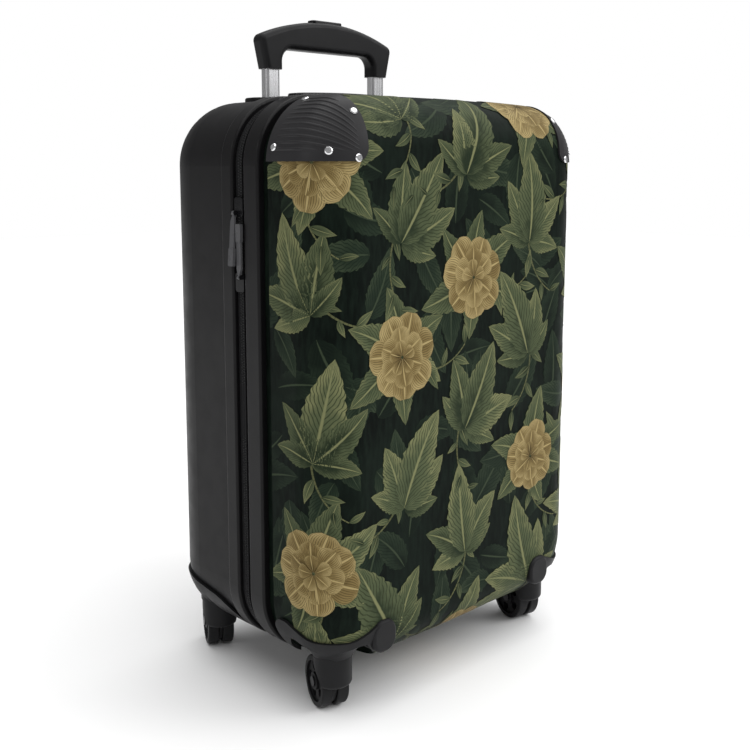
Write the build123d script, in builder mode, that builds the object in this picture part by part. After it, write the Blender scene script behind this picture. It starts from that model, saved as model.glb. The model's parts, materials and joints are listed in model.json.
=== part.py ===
"""Cabin spinner suitcase: a zipped hard case in two halves, with a telescopic handle and four casters.

Millimetres. X runs to the right, Y to the back, Z up. The origin is on the floor under the middle of the
case, and the printed front half is at negative Y. Every piece is written in its closed, standing place.
"""

import os
from math import cos, radians, sin, sqrt

from build123d import *

# Case
case_width = 350.0
case_depth = 248.0
case_bottom = 42.0
case_top = 547.0
top_crown = 4.0
corner_radius = 60.0
rear_rounding = 56.0
front_rounding = 43.0
wall = 2.5
rear_shell_depth = 108.0
rear_rim_width = 17.0
tape_width = 8.0
front_rim_width = 21.0
groove_width = 11.0
groove_depth = 4.0
rim_proud = 3.0
rim_rounding = 2.5
zip_gap = 0.3
tape_depth = 2.0
tape_thickness = 2.0
coil_width = 2.6
coil_proud = 1.6

# Clearances
seat = 0.1
running = 0.05
clear = 0.35
overrun = 20.0

# Hinge cloth between the halves
hinge_cloth_thickness = 1.2
hinge_cloth_length = 340.0
hinge_cloth_overlap = 13.0

# Corner guards and their rivets
guard_thickness = 2.2
guard_width = 45.0
guard_drop = 54.0
guard_corner = 12.0
rivet_radius = 3.4
rivet_proud = 1.5
rivet_shank_radius = 1.8
rivet_shank_length = 1.6
rivet_chamfer = 0.9
rivet_inset = 9.0
rivet_bend_angle = 45.0
front_rivet_angle = 78.0
low_row_angle = 14.5
inner_row_angle = 66.0

# Casters
wheel_diameter = 47.0
wheel_width = 11.0
wheel_gap = 4.0
wheel_rim = 5.0
wheel_dish = 2.2
wheel_hub_radius = 8.0
wheel_hole_radius = 4.2
wheel_hole_count = 5
wheel_edge = 1.6
axle_radius = 3.0
axle_head_radius = 4.6
axle_head_length = 1.6
caster_side_inset = 36.0
front_caster_inset = 36.5
rear_caster_inset = 37.0
caster_trail = 15.0
barrel_radius = 17.5
barrel_bottom = 27.0
barrel_rounding = 4.0
swivel_height = 54.0
swivel_gap = 0.5
pin_radius = 4.0
pin_length = 26.0
web_clearance = 0.5
web_radius = 20.5
front_left_turn = -20.0
front_right_turn = -14.0
rear_left_turn = -27.0
rear_right_turn = -8.0

# Wheel housings
housing_thickness = 3.0
well_radius = 37.5
well_top = 72.0
neck_radius = 18.5
neck_straight = 1.0
flare_radius = 42.0
flare_top = 75.0
flare_sag = 3.0
neck_rise = 10.0
boss_radius = 8.0
boss_top = 84.0
boss_clear = 0.2
saddle_top = 77.0
arm_top = 89.0
arm_bottom = 61.0
arm_reach = 41.0
arm_crest = 18.0
arm_rounding = 12.0
lobe_width = 28.0
lobe_margin = 0.8
lobe_edge = 3.0
saddle_run = 30.0
saddle_rounding = 30.0
rear_arm_top = 89.0
rear_arm_slope_run = 46.0
rear_arm_slope_share = 0.62

# Telescopic handle
tube_x = 71.5
tube_inset = 46.5
tube_width = 17.0
tube_depth = 10.8
tube_rounding = 3.2
tube_wall = 0.9
outer_tube_wall = 1.2
bezel_width = 196.0
bezel_depth = 30.0
bezel_height = 4.5
bezel_rounding = 2.0
bezel_corner = 12.0
tube_exposed = 28.5
inner_tube_length = 450.0
middle_tube_length = 478.0
outer_tube_length = 480.0
foot_width = 190.0
foot_height = 26.0
foot_wall = 3.0
grip_half_top = 89.0
grip_half_leg = 82.0
grip_leg_width = 21.0
grip_leg_height = 31.0
grip_leg_rise = 20.0
grip_crown = 19.0
grip_thickness = 18.0
grip_inner_rounding = 12.0
grip_outer_rounding = 7.0
grip_rounding = 5.5
tube_grip_depth = 14.0
button_length = 40.0
button_width = 11.0
button_height = 10.0
button_proud = 1.8
button_corner = 3.6
button_edge = 1.2
spring_height = 4.0
spring_thickness = 0.6
spring_length = 26.0
spring_width = 6.0

# Carry handle on the top
carry_gap = 15.0
carry_length = 166.0
carry_width = 20.0
carry_thickness = 5.0
carry_bow = 2.5
carry_rounding = 2.0
carry_end_rounding = 7.0
carry_lift = 18.0
carry_plate_length = 186.0
carry_plate_width = 26.0
carry_plate_thickness = 1.8
carry_plate_corner = 10.0
post_x = 66.0
post_length = 12.0
post_width = 9.0
post_foot_margin = 2.5
post_foot_height = 3.0

# Lining panel over the tubes inside
lining_thickness = 1.5
lining_gap = 3.0

# Zip sliders and pulls
slider_length = 17.0
slider_width = 12.0
slider_plate = 2.0
slider_flange = 2.4
slider_edge = 2.5
upper_slider_drop = 93.5
lower_slider_drop = 160.0
bail_offset = 3.2
bail_drop = 5.0
bail_cheek = 0.8
bail_reach = 2.6
bail_radius = 1.9
pull_pin_radius = 1.0
pull_eye_radius = 2.0
pull_eye_width = 2.6
pull_side_gap = 0.25
pull_length = 47.0
pull_width = 6.2
pull_shoulder = 8.0
pull_thickness = 2.0
pull_corner = 1.4
pull_grip_length = 16.0
pull_grip_margin = 0.5
upper_pull_tilt = 4.0

# Places along the depth
rear_face = case_depth / 2
front_face = -case_depth / 2
rear_rim_y = rear_face - rear_shell_depth
rear_tape_y = rear_rim_y - rear_rim_width
zip_y = rear_tape_y - tape_width
front_rim_y = zip_y - tape_width
groove_y = front_rim_y - front_rim_width
front_shell_y = groove_y - groove_width

# Other worked-out places
half_width = case_width / 2
crown_radius = (half_width**2 + top_crown**2) / (2 * top_crown)
crown_centre_z = case_top + top_crown - crown_radius
corner_z = crown_centre_z + sqrt((crown_radius - corner_radius) ** 2 - (half_width - corner_radius) ** 2)
rim_inside = -(groove_depth + wall)
tape_level = -tape_depth
wheel_radius = wheel_diameter / 2
neck_bottom = swivel_height + swivel_gap
caster_x = half_width - caster_side_inset
front_caster_y = front_face + front_caster_inset
rear_caster_y = rear_face - rear_caster_inset
arm_end_x = caster_x - arm_reach
tube_y = rear_face - tube_inset
carry_y = rear_rim_y + carry_gap
upper_slider_z = case_top - upper_slider_drop
lower_slider_z = case_top - lower_slider_drop
skirt_z = case_bottom - overrun
front_pivots = [(-caster_x, front_caster_y), (caster_x, front_caster_y)]
rear_pivots = [(-caster_x, rear_caster_y), (caster_x, rear_caster_y)]
bottom_align = (Align.CENTER, Align.CENTER, Align.MIN)

os.makedirs("parts", exist_ok=True)


def write(piece, name):
    """Label a finished piece and write it as its own file."""
    piece.label = name
    export_step(piece, f"parts/{name}.step")


def station(y):
    """Plane across the case at depth y, seen from the front."""
    return Plane.XZ.offset(-y)


def draw_outline(grow):
    """Outline of the case seen from the front, grown outwards on all sides, for the sketch in hand."""
    half = half_width + grow
    low = case_bottom - grow
    high = case_top + grow
    with BuildLine() as path:
        Polyline((-half, high), (-half, low), (half, low), (half, high))
        ThreePointArc((half, high), (0, high + top_crown), (-half, high))
    make_face(path.edges())
    fillet(vertices(), corner_radius + grow)


def slab(y_rear, y_front, grow):
    """Solid slice of the case between two depths."""
    with BuildPart() as slice_part:
        with BuildSketch(station(y_rear)):
            draw_outline(grow)
        extrude(amount=y_rear - y_front)
    return slice_part.part


def half_body(y_open, y_closed, grow, rounding):
    """Solid half of the case, rounded along the edge of its closed end."""
    opens_forward = y_closed > y_open
    body = slab(max(y_open, y_closed), min(y_open, y_closed), grow)
    with BuildPart() as rounded:
        add(body)
        ends = rounded.faces().sort_by(Axis.Y)
        closed_end = ends[-1] if opens_forward else ends[0]
        fillet(closed_end.edges(), rounding)
    return rounded.part


def ring(y_rear, y_front, outer_grow, inner_grow):
    """Band that follows the outline of the case."""
    hole = slab(y_rear + overrun, y_front - overrun, inner_grow)
    outside = slab(y_rear, y_front, outer_grow)
    with BuildPart() as band:
        add(outside)
        add(hole, mode=Mode.SUBTRACT)
    return band.part


def columns(pivots, radius, low, high):
    """Upright cylinders on the caster pivots."""
    with BuildPart() as posts:
        with Locations(*[(x, y, low) for x, y in pivots]):
            Cylinder(radius, high - low, align=bottom_align)
    return posts.part


def tube_section(width, depth, rounding):
    """Rounded section of both handle tubes, for the sketch in hand."""
    with Locations((-tube_x, tube_y), (tube_x, tube_y)):
        RectangleRounded(width, depth, rounding)


# Solid forms that the halves and their trim are cut from
rear_form = half_body(rear_rim_y, rear_face, 0, rear_rounding)
front_form = half_body(front_shell_y, front_face, 0, front_rounding)
rear_skin_form = half_body(
    rear_rim_y, rear_face + housing_thickness, housing_thickness, rear_rounding + housing_thickness
)
front_skin_form = half_body(
    front_shell_y, front_face - housing_thickness, housing_thickness, front_rounding + housing_thickness
)
guard_form = half_body(
    front_shell_y, front_face - guard_thickness, guard_thickness, front_rounding + guard_thickness
)
rear_inside = half_body(rear_rim_y - overrun, rear_face - wall, -wall, rear_rounding - wall)
front_inside = half_body(front_shell_y - wall, front_face + wall, -wall, front_rounding - wall)

# Tube sizes, from the inner tube outwards
middle_width = tube_width + 2 * (clear + tube_wall)
middle_depth = tube_depth + 2 * (clear + tube_wall)
middle_rounding = tube_rounding + clear + tube_wall
outer_width = middle_width + 2 * (clear + outer_tube_wall)
outer_depth = middle_depth + 2 * (clear + outer_tube_wall)
outer_rounding = middle_rounding + clear + outer_tube_wall
bezel_top = case_top + top_crown + bezel_height

# Rear shell
rear_wells = columns(rear_pivots, well_radius, 0, well_top)
rear_well_walls = columns(rear_pivots, well_radius + wall, 0, well_top + wall)
rear_boss_holes = columns(rear_pivots, boss_radius + boss_clear, 0, boss_top)
with BuildPart() as rear_hollow:
    add(rear_inside)
    add(rear_well_walls, mode=Mode.SUBTRACT)
with BuildPart() as rear_shell:
    add(rear_form)
    add(rear_wells, mode=Mode.SUBTRACT)
    add(rear_hollow.part, mode=Mode.SUBTRACT)
    add(rear_boss_holes, mode=Mode.SUBTRACT)
    with BuildSketch(Plane.XY.offset(bezel_top)):
        tube_section(outer_width + 2 * seat, outer_depth + 2 * seat, outer_rounding + seat)
        with Locations((-post_x, carry_y), (post_x, carry_y)):
            Rectangle(post_length + 2 * clear, post_width + 2 * clear)
    extrude(amount=-(bezel_top - case_top + corner_radius), mode=Mode.SUBTRACT)
write(rear_shell.part, "rear_shell")

# Front shell, with the recessed neck that seats in the front rim
neck_outside = slab(groove_y, front_shell_y, -groove_depth)
neck_inside = slab(groove_y + overrun, front_shell_y - 2 * wall, rim_inside)
front_wells = columns(front_pivots, well_radius, 0, well_top)
front_well_walls = columns(front_pivots, well_radius + wall, 0, well_top + wall)
front_boss_holes = columns(front_pivots, boss_radius + boss_clear, 0, boss_top)
with BuildPart() as front_hollow:
    add(front_inside)
    add(neck_inside)
    add(front_well_walls, mode=Mode.SUBTRACT)
with BuildPart() as front_shell:
    add(front_form)
    add(neck_outside)
    add(front_wells, mode=Mode.SUBTRACT)
    add(front_hollow.part, mode=Mode.SUBTRACT)
    add(front_boss_holes, mode=Mode.SUBTRACT)
write(front_shell.part, "front_shell")


def rim(y_rear, y_front):
    """Proud rim band with both outer edges rounded."""
    band = ring(y_rear, y_front, rim_proud, rim_inside)
    with BuildPart() as rounded:
        add(band)
        ends = rounded.faces().sort_by(Axis.Y)
        outer_edges = ends[0].outer_wire().edges() + ends[-1].outer_wire().edges()
        fillet(outer_edges, rim_rounding)
    return rounded.part


write(rim(rear_rim_y, rear_tape_y), "rear_rim")
write(rim(front_rim_y, groove_y), "front_rim")


def zip_tape(y_rim, y_edge):
    """One side of the zip: flat tape with half of the coil along its free edge."""
    inwards = 1 if y_rim > y_edge else -1
    coil_y = y_edge + inwards * coil_width
    tape_inside = tape_level - tape_thickness
    tape = ring(max(y_rim, y_edge), min(y_rim, y_edge), tape_level, tape_inside)
    coil = ring(max(coil_y, y_edge), min(coil_y, y_edge), tape_level + coil_proud, tape_inside)
    with BuildPart() as side:
        add(tape)
        add(coil)
    return side.part


write(zip_tape(rear_tape_y, zip_y + zip_gap / 2), "rear_zip_tape")
write(zip_tape(front_rim_y, zip_y - zip_gap / 2), "front_zip_tape")


def hinge_cloth(y_from, y_to):
    """Strip of hinge cloth sewn to the right side of one rim."""
    middle_z = (case_bottom + case_top) / 2
    with BuildPart() as cloth:
        with Locations((half_width + rim_proud, (y_from + y_to) / 2, middle_z)):
            Box(
                hinge_cloth_thickness,
                abs(y_to - y_from),
                hinge_cloth_length,
                align=(Align.MIN, Align.CENTER, Align.CENTER),
            )
        ends = cloth.edges().filter_by(Axis.X)
        fillet(ends, hinge_cloth_thickness)
    return cloth.part


write(hinge_cloth(zip_y + zip_gap / 2, rear_tape_y + hinge_cloth_overlap), "hinge_cloth_rear")
write(hinge_cloth(zip_y - zip_gap / 2, front_rim_y - hinge_cloth_overlap), "hinge_cloth_front")


# Rivets of the corner guards: along the lower edge and up the inner edge of each
def guard_place(side, outline_angle, bend_angle, depth_back):
    """Plane on a guard: outline_angle climbs the corner, bend_angle goes round the front edge."""
    along_side = cos(radians(bend_angle))
    along_front = sin(radians(bend_angle))
    reach = corner_radius - front_rounding + (front_rounding + guard_thickness) * along_side
    out_x = cos(radians(outline_angle))
    out_z = sin(radians(outline_angle))
    origin = (
        side * (half_width - corner_radius + reach * out_x),
        front_face + front_rounding - (front_rounding + guard_thickness) * along_front + depth_back,
        corner_z + reach * out_z,
    )
    normal = (side * out_x * along_side, -along_front, out_z * along_side)
    return Plane(origin=origin, z_dir=normal)


rivet_back = front_shell_y - rivet_inset - (front_face + front_rounding)
rivet_places = []
for side in (-1, 1):
    rivet_places.append(guard_place(side, low_row_angle, 0, rivet_back))
    rivet_places.append(guard_place(side, low_row_angle, rivet_bend_angle, 0))
    rivet_places.append(guard_place(side, low_row_angle, front_rivet_angle, 0))
    rivet_places.append(guard_place(side, inner_row_angle, 0, rivet_back))
    rivet_places.append(guard_place(side, inner_row_angle, rivet_bend_angle, 0))
with BuildPart() as guard_rivets:
    for place in rivet_places:
        with BuildSketch(place):
            Circle(rivet_radius)
        extrude(amount=rivet_proud)
        with BuildSketch(place):
            Circle(rivet_shank_radius)
        extrude(amount=-rivet_shank_length)
    head_edges = guard_rivets.edges().filter_by(GeomType.CIRCLE).group_by(SortBy.RADIUS)[-1]
    crown_edges = []
    for edge in head_edges:
        distances = [(edge.arc_center - place.origin).length for place in rivet_places]
        if min(distances) > rivet_proud / 2:
            crown_edges.append(edge)
    chamfer(crown_edges, rivet_chamfer)
    add(front_form, mode=Mode.SUBTRACT)
write(guard_rivets.part, "guard_rivets")


# Corner guards on the two upper front corners
def corner_guard(side):
    """Moulded guard over one upper front corner; side is -1 on the left and 1 on the right."""
    inner_x = half_width - guard_width
    low_z = case_top - guard_drop
    with BuildPart() as region:
        with BuildSketch(station(front_shell_y - seat)):
            with BuildLine():
                FilletPolyline(
                    (side * inner_x, case_top + overrun),
                    (side * inner_x, low_z),
                    (side * (half_width + overrun), low_z),
                    (side * (half_width + overrun), case_top + overrun),
                    radius=guard_corner,
                    close=True,
                )
            make_face()
        extrude(amount=front_shell_y - front_face + overrun)
    with BuildPart() as guard:
        add(guard_form)
        add(front_form, mode=Mode.SUBTRACT)
        add(region.part, mode=Mode.INTERSECT)
        add(guard_rivets.part, mode=Mode.SUBTRACT)
    return guard.part


write(corner_guard(-1), "corner_guard_left")
write(corner_guard(1), "corner_guard_right")


# Wheel housings
def neck_flare(pivot):
    """Trumpet neck that spreads from the swivel up to the skin of the case."""
    x, y = pivot
    start_z = neck_bottom + neck_straight
    spread = flare_radius - neck_radius
    rise = flare_top - start_z
    chord = sqrt(spread**2 + rise**2)
    middle_r = (neck_radius + flare_radius) / 2 - flare_sag * rise / chord
    middle_z = (start_z + flare_top) / 2 + flare_sag * spread / chord
    with BuildPart() as flare:
        with BuildSketch(Plane(origin=(x, y, 0), x_dir=(1, 0, 0), z_dir=(0, -1, 0))):
            with BuildLine():
                Polyline(
                    (flare_radius, flare_top),
                    (0, flare_top),
                    (0, neck_bottom),
                    (neck_radius, neck_bottom),
                    (neck_radius, start_z),
                )
                ThreePointArc((neck_radius, start_z), (middle_r, middle_z), (flare_radius, flare_top))
            make_face()
        revolve(axis=Axis((x, y, 0), (0, 0, 1)))
    return flare.part


def arm_lobe(side, y_face):
    """Rounded knob at the end of the arm on the front or the rear face, hanging straight down."""
    outwards = -1 if y_face < 0 else 1
    proud = housing_thickness + lobe_margin
    depth = proud + front_rounding / 2
    height = arm_top - arm_bottom + 2 * lobe_margin
    centre_x = arm_end_x - lobe_margin + lobe_width / 2
    with BuildPart() as lobe:
        with BuildSketch(station(y_face + outwards * proud)):
            with Locations((side * centre_x, (arm_top + arm_bottom) / 2)):
                RectangleRounded(lobe_width, height, arm_rounding)
        extrude(amount=outwards * depth)
        outer_face = lobe.faces().sort_by(Axis.Y)[0 if outwards < 0 else -1]
        fillet(outer_face.edges(), lobe_edge)
    return lobe.part


def face_arm(side, y_face):
    """Region of the arm that reaches along the front or the rear face, ending in a rounded lobe."""
    far_x = half_width + overrun
    points = [
        (side * far_x, neck_bottom),
        (side * far_x, saddle_top),
        (side * (half_width - saddle_run), saddle_top),
        (side * (arm_end_x + arm_crest), arm_top),
        (side * arm_end_x, arm_top),
        (side * arm_end_x, arm_bottom),
        (side * caster_x, arm_bottom),
        (side * caster_x, neck_bottom),
    ]
    at_front = y_face < 0
    y_rear = y_face + (front_rounding if at_front else overrun)
    y_front = y_face - (overrun if at_front else rear_rounding)
    with BuildPart() as region:
        with BuildSketch(station(y_rear)):
            with BuildLine():
                FilletPolyline(
                    *points,
                    radius=[0, 0, saddle_rounding, arm_rounding, arm_rounding, arm_rounding, 0, 0],
                    close=True,
                )
            make_face()
        extrude(amount=y_rear - y_front)
    return region.part


def side_arm(side, points, radii):
    """Region of the arm that reaches along the side of the case; points are depth and height."""
    with BuildPart() as region:
        with BuildSketch(Plane.YZ.offset(side * (half_width - corner_radius / 2))):
            with BuildLine():
                FilletPolyline(*points, radius=radii, close=True)
            make_face()
        extrude(amount=side * (corner_radius / 2 + overrun))
    return region.part


def wheel_housing(side, pivot, form, skin_form, side_region, y_face):
    """Housing over one lower corner: arms on the shell, neck in the well and boss for the swivel pin."""
    x, y = pivot
    flare = neck_flare(pivot)
    lobe = arm_lobe(side, y_face)
    face_region = face_arm(side, y_face)
    well = columns([pivot], well_radius, 0, well_top)
    with BuildPart() as arms:
        add(face_region)
        add(side_region)
        add(skin_form, mode=Mode.INTERSECT)
        add(form, mode=Mode.SUBTRACT)
        add(well, mode=Mode.SUBTRACT)
    with BuildPart() as shell_form:
        add(form)
        add(well, mode=Mode.SUBTRACT)
    with BuildPart() as neck:
        add(flare)
        add(skin_form, mode=Mode.INTERSECT)
        add(lobe)
        with Locations((x, y, neck_bottom)):
            Cylinder(neck_radius, neck_rise, align=bottom_align)
        add(shell_form.part, mode=Mode.SUBTRACT)
    with BuildPart() as housing:
        add(arms.part)
        add(neck.part)
        with Locations((x, y, neck_bottom)):
            Cylinder(boss_radius, boss_top - neck_bottom, align=bottom_align)
            Cylinder(
                pin_radius + running,
                pin_length + swivel_gap,
                align=bottom_align,
                mode=Mode.SUBTRACT,
            )
    return housing.part


front_side_points = [
    (front_face - overrun, skirt_z),
    (front_face - overrun, saddle_top),
    (front_face + saddle_run, saddle_top),
    (front_shell_y - arm_crest, arm_top),
    (front_shell_y - seat, arm_top),
    (front_shell_y - seat, skirt_z),
]
rear_side_points = [
    (rear_face + overrun, skirt_z),
    (rear_face + overrun, rear_arm_top),
    (rear_caster_y, rear_arm_top),
    (rear_rim_y + rear_arm_slope_run / 2, arm_bottom + (rear_arm_top - arm_bottom) * rear_arm_slope_share),
    (rear_rim_y + seat, arm_bottom),
    (rear_rim_y + seat, skirt_z),
]
side_radii = [0, 0, saddle_rounding, arm_rounding, arm_rounding, 0]
rear_side_radii = [0, 0, saddle_rounding, saddle_rounding, 0, 0]
for side, word in ((-1, "left"), (1, "right")):
    front_side = side_arm(side, front_side_points, side_radii)
    front_pivot = (side * caster_x, front_caster_y)
    housing = wheel_housing(side, front_pivot, front_form, front_skin_form, front_side, front_face)
    write(housing, f"wheel_housing_front_{word}")
    rear_side = side_arm(side, rear_side_points, rear_side_radii)
    rear_pivot = (side * caster_x, rear_caster_y)
    housing = wheel_housing(side, rear_pivot, rear_form, rear_skin_form, rear_side, rear_face)
    write(housing, f"wheel_housing_rear_{word}")


# Casters
def caster_fork(pivot):
    """Swivelling fork: barrel, pin, and a web between the wheels that carries the axle."""
    x, y = pivot
    axle_y = y + caster_trail
    slot_radius = wheel_radius + 2 * web_clearance
    web_half = wheel_gap / 2 - web_clearance
    with BuildPart() as fork:
        with Locations((x, y, barrel_bottom)):
            Cylinder(barrel_radius, swivel_height - barrel_bottom, align=bottom_align)
        fillet(fork.faces().sort_by(Axis.Z)[0].edges(), barrel_rounding)
        for side in (-1, 1):
            with BuildSketch(Plane.YZ.offset(x + side * web_half)):
                with Locations((axle_y, wheel_radius)):
                    Circle(slot_radius)
            extrude(amount=side * barrel_radius, mode=Mode.SUBTRACT)
        with BuildSketch(Plane.YZ.offset(x)):
            with Locations((axle_y, wheel_radius)):
                Circle(web_radius)
            with Locations((y, (barrel_bottom + swivel_height) / 2)):
                Rectangle(barrel_radius, swivel_height - barrel_bottom)
            make_hull()
        extrude(amount=web_half, both=True)
        with Locations((x, y, swivel_height)):
            Cylinder(pin_radius, pin_length, align=bottom_align)
        with BuildSketch(Plane.YZ.offset(x)):
            with Locations((axle_y, wheel_radius)):
                Circle(axle_radius + running)
        extrude(amount=web_half + overrun, both=True, mode=Mode.SUBTRACT)
    return fork.part


def caster_wheel(pivot, side):
    """One wheel of a pair: tyre, dished disc with round holes, and hub pressed on the axle."""
    x, y = pivot
    axle_y = y + caster_trail
    inner_x = x + side * wheel_gap / 2
    with BuildPart() as wheel:
        with BuildSketch(Plane.YZ.offset(inner_x)):
            with Locations((axle_y, wheel_radius)):
                Circle(wheel_radius)
        extrude(amount=side * wheel_width)
        fillet(wheel.edges().filter_by(GeomType.CIRCLE), wheel_edge)
        with BuildSketch(Plane.YZ.offset(inner_x + side * wheel_width)):
            with Locations((axle_y, wheel_radius)):
                Circle(wheel_radius - wheel_rim)
                Circle(wheel_hub_radius, mode=Mode.SUBTRACT)
        extrude(amount=-side * wheel_dish, mode=Mode.SUBTRACT)
        with BuildSketch(Plane.YZ.offset(inner_x)):
            with Locations((axle_y, wheel_radius)):
                with PolarLocations((wheel_radius - wheel_rim + wheel_hub_radius) / 2, wheel_hole_count):
                    Circle(wheel_hole_radius)
        extrude(amount=side * wheel_width, mode=Mode.SUBTRACT)
        with BuildSketch(Plane.YZ.offset(inner_x)):
            with Locations((axle_y, wheel_radius)):
                Circle(axle_radius)
        extrude(amount=side * wheel_width, mode=Mode.SUBTRACT)
    return wheel.part


def caster_axle(pivot):
    """Axle through both wheels, with a riveted head at each end."""
    x, y = pivot
    half_length = wheel_gap / 2 + wheel_width
    with BuildPart() as axle:
        with BuildSketch(Plane.YZ.offset(x)):
            with Locations((y + caster_trail, wheel_radius)):
                Circle(axle_radius)
        extrude(amount=half_length, both=True)
        for side in (-1, 1):
            with BuildSketch(Plane.YZ.offset(x + side * half_length)):
                with Locations((y + caster_trail, wheel_radius)):
                    Circle(axle_head_radius)
            extrude(amount=side * axle_head_length)
    return axle.part


for side, caster_y, turn, place in (
    (-1, front_caster_y, front_left_turn, "front_left"),
    (1, front_caster_y, front_right_turn, "front_right"),
    (-1, rear_caster_y, rear_left_turn, "rear_left"),
    (1, rear_caster_y, rear_right_turn, "rear_right"),
):
    pivot = (side * caster_x, caster_y)
    swivel = Axis((side * caster_x, caster_y, 0), (0, 0, 1))
    write(caster_fork(pivot).rotate(swivel, turn), f"caster_fork_{place}")
    write(caster_wheel(pivot, side).rotate(swivel, turn), f"wheel_{place}_outer")
    write(caster_wheel(pivot, -side).rotate(swivel, turn), f"wheel_{place}_inner")
    write(caster_axle(pivot).rotate(swivel, turn), f"axle_{place}")


# Telescopic handle: tubes, bezel and foot
def tube(side, width, depth, rounding, thickness, low, high):
    """One hollow handle tube between two heights."""
    hole_width = width - 2 * thickness
    hole_depth = depth - 2 * thickness
    with BuildPart() as pipe:
        with BuildSketch(Plane.XY.offset(low)):
            with Locations((side * tube_x, tube_y)):
                RectangleRounded(width, depth, rounding)
                RectangleRounded(hole_width, hole_depth, rounding - thickness, mode=Mode.SUBTRACT)
        extrude(amount=high - low)
    return pipe.part


outer_top = bezel_top - bezel_height / 2
outer_low = outer_top - outer_tube_length
leg_bottom = bezel_top + tube_exposed
inner_top = leg_bottom + tube_grip_depth
for side, word in ((-1, "left"), (1, "right")):
    outer_section = (outer_width, outer_depth, outer_rounding, outer_tube_wall)
    write(tube(side, *outer_section, outer_low, outer_top), f"outer_tube_{word}")
    middle_section = (middle_width, middle_depth, middle_rounding, tube_wall)
    write(tube(side, *middle_section, bezel_top - middle_tube_length, bezel_top), f"middle_tube_{word}")
    inner_section = (tube_width, tube_depth, tube_rounding, tube_wall)
    write(tube(side, *inner_section, inner_top - inner_tube_length, inner_top), f"inner_tube_{word}")

with BuildPart() as handle_bezel:
    with BuildSketch(Plane.XY.offset(bezel_top)):
        with Locations((0, tube_y)):
            RectangleRounded(bezel_width, bezel_depth, bezel_corner)
    extrude(amount=-(bezel_height + top_crown + overrun))
    fillet(handle_bezel.faces().sort_by(Axis.Z)[-1].edges(), bezel_rounding)
    add(rear_form, mode=Mode.SUBTRACT)
    with BuildSketch(Plane.XY.offset(outer_top + seat)):
        tube_section(outer_width + 2 * seat, outer_depth + 2 * seat, outer_rounding + seat)
    extrude(amount=-overrun, mode=Mode.SUBTRACT)
    with BuildSketch(Plane.XY.offset(bezel_top)):
        tube_section(middle_width + 2 * clear, middle_depth + 2 * clear, middle_rounding + clear)
    extrude(amount=-overrun, mode=Mode.SUBTRACT)
write(handle_bezel.part, "handle_bezel")

# Foot that holds the lower ends of the fixed tubes against the back wall
with BuildPart() as tube_foot:
    foot_back = rear_face - wall
    foot_front = tube_y - outer_depth / 2 - foot_wall
    with BuildSketch(Plane.XY.offset(outer_low - foot_wall)):
        with Locations((0, (foot_back + foot_front) / 2)):
            Rectangle(foot_width, foot_back - foot_front)
    extrude(amount=foot_height)
    with BuildSketch(Plane.XY.offset(outer_low)):
        tube_section(outer_width + 2 * seat, outer_depth + 2 * seat, outer_rounding + seat)
    extrude(amount=foot_height, mode=Mode.SUBTRACT)
    add(rear_inside, mode=Mode.INTERSECT)
    add(rear_well_walls, mode=Mode.SUBTRACT)
write(tube_foot.part, "tube_foot")

# Lining panel in front of the tubes
with BuildPart() as back_lining:
    lining_y = tube_y - outer_depth / 2 - foot_wall - lining_gap
    with BuildSketch(station(lining_y)):
        Rectangle(case_width, 2 * case_top)
    extrude(amount=lining_thickness)
    add(rear_inside, mode=Mode.INTERSECT)
    add(rear_well_walls, mode=Mode.SUBTRACT)
write(back_lining.part, "back_lining")

# Grip: a bowed bar on two flared legs
grip_top = leg_bottom + grip_leg_height
with BuildPart() as grip:
    with BuildSketch(station(tube_y + grip_thickness / 2)):
        with BuildLine():
            leg_inner = grip_half_leg - grip_leg_width
            underside = leg_bottom + grip_leg_rise
            left_end = (-grip_half_top, grip_top)
            right_end = (grip_half_top, grip_top)
            ThreePointArc(left_end, (0, grip_top + grip_crown), right_end)
            Polyline(
                right_end,
                (grip_half_leg, leg_bottom),
                (leg_inner, leg_bottom),
                (leg_inner, underside),
                (-leg_inner, underside),
                (-leg_inner, leg_bottom),
                (-grip_half_leg, leg_bottom),
                left_end,
            )
        make_face()
        inner_corners = vertices().filter_by_position(Axis.Y, underside - seat, underside + seat)
        fillet(inner_corners, grip_inner_rounding)
        outer_corners = vertices().filter_by_position(Axis.Y, grip_top - seat, grip_top + seat)
        fillet(outer_corners, grip_outer_rounding)
    extrude(amount=grip_thickness)
    grip_sides = grip.faces().sort_by(Axis.Y)
    side_edges = grip_sides[0].edges() + grip_sides[-1].edges()
    fillet([edge for edge in side_edges if edge.center().Z > leg_bottom + seat], grip_rounding)
    with BuildSketch(Plane.XY.offset(leg_bottom)):
        tube_section(tube_width + 2 * seat, tube_depth + 2 * seat, tube_rounding + seat)
    extrude(amount=tube_grip_depth, mode=Mode.SUBTRACT)
    button_floor = grip_top + grip_crown + button_proud - button_height - spring_height
    with BuildSketch(Plane.XY.offset(button_floor)):
        with Locations((0, tube_y)):
            RectangleRounded(button_length + 2 * clear, button_width + 2 * clear, button_corner + clear)
    extrude(amount=overrun, mode=Mode.SUBTRACT)
write(grip.part, "grip")

with BuildPart() as push_button:
    with BuildSketch(Plane.XY.offset(button_floor + spring_height)):
        with Locations((0, tube_y)):
            RectangleRounded(button_length, button_width, button_corner)
    extrude(amount=button_height)
    fillet(push_button.faces().sort_by(Axis.Z)[-1].edges(), button_edge)
write(push_button.part, "push_button")

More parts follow.
